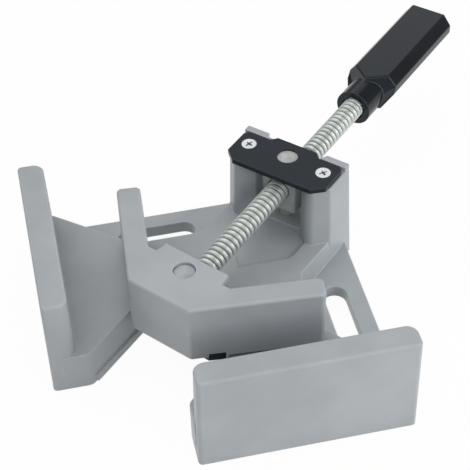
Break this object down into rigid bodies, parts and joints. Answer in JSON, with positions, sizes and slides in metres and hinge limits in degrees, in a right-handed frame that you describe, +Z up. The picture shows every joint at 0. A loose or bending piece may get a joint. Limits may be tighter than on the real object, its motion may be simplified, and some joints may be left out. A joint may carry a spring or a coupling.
{
  "type": "corner clamp",
  "caption": "Right-angle corner clamp: cast frame with two walls, swivelling L-shaped jaw, lead screw through a trunnion nut, black grip.",
  "frame": {"origin": "on the flat underside, on the upright axis of the trunnion nut", "axes": "+Z up from the bench, +X along the right wall away from the clamped corner, +Y along the left wall; the screw lies between them at 45 degrees, its handle towards +X +Y"},
  "size_m": [0.234, 0.234, 0.0551],
  "materials": {
    "cast_body": "satin grey coat",
    "black_steel": "satin black",
    "bright_zinc": "bright zinc",
    "nut_steel": "dull grey plating",
    "screw_steel": "zinc plated, faint yellow-green",
    "grip_plastic": "satin black moulding"
  },
  "bodies": {
    "base": {"base_casting": "cast_body", "retaining_plate": "black_steel", "plate_screw_left": "bright_zinc", "plate_screw_right": "bright_zinc"},
    "nut": {"trunnion_nut": "nut_steel"},
    "carriage": {"jaw_swivel_pin": "nut_steel", "screw_lock_pin": "bright_zinc"},
    "spindle": {"lead_screw": "screw_steel", "handle": "grip_plastic"},
    "jaw": {"moving_jaw": "cast_body", "jaw_glide_strip": "black_steel", "glide_strip_screws": "bright_zinc"}
  },
  "joints": [
    {"name": "nut_swivel", "type": "hinge", "parent": "base", "child": "nut", "pos_m": [0, 0, 0.0406], "axis": [0, 0, 1], "range_deg": [-1.5, 1.5]},
    {"name": "jaw_travel", "type": "slide", "parent": "nut", "child": "carriage", "axis": [0.7071, 0.7071, 0], "range_m": [-0.027, 0.055]},
    {"name": "screw_turn", "type": "hinge", "parent": "carriage", "child": "spindle", "pos_m": [-0.06035, -0.06035, 0.0406], "axis": [0.7071, 0.7071, 0], "range_deg": [-3241, 6601]},
    {"name": "jaw_swivel", "type": "hinge", "parent": "carriage", "child": "jaw", "pos_m": [-0.06035, -0.06035, 0.0406], "axis": [0, 0, 1], "range_deg": [-0.5, 8.5]}
  ],
  "couplings": [
    {"joint": "screw_turn", "follows": "jaw_travel", "rad_per_m": 2094.4}
  ]
}
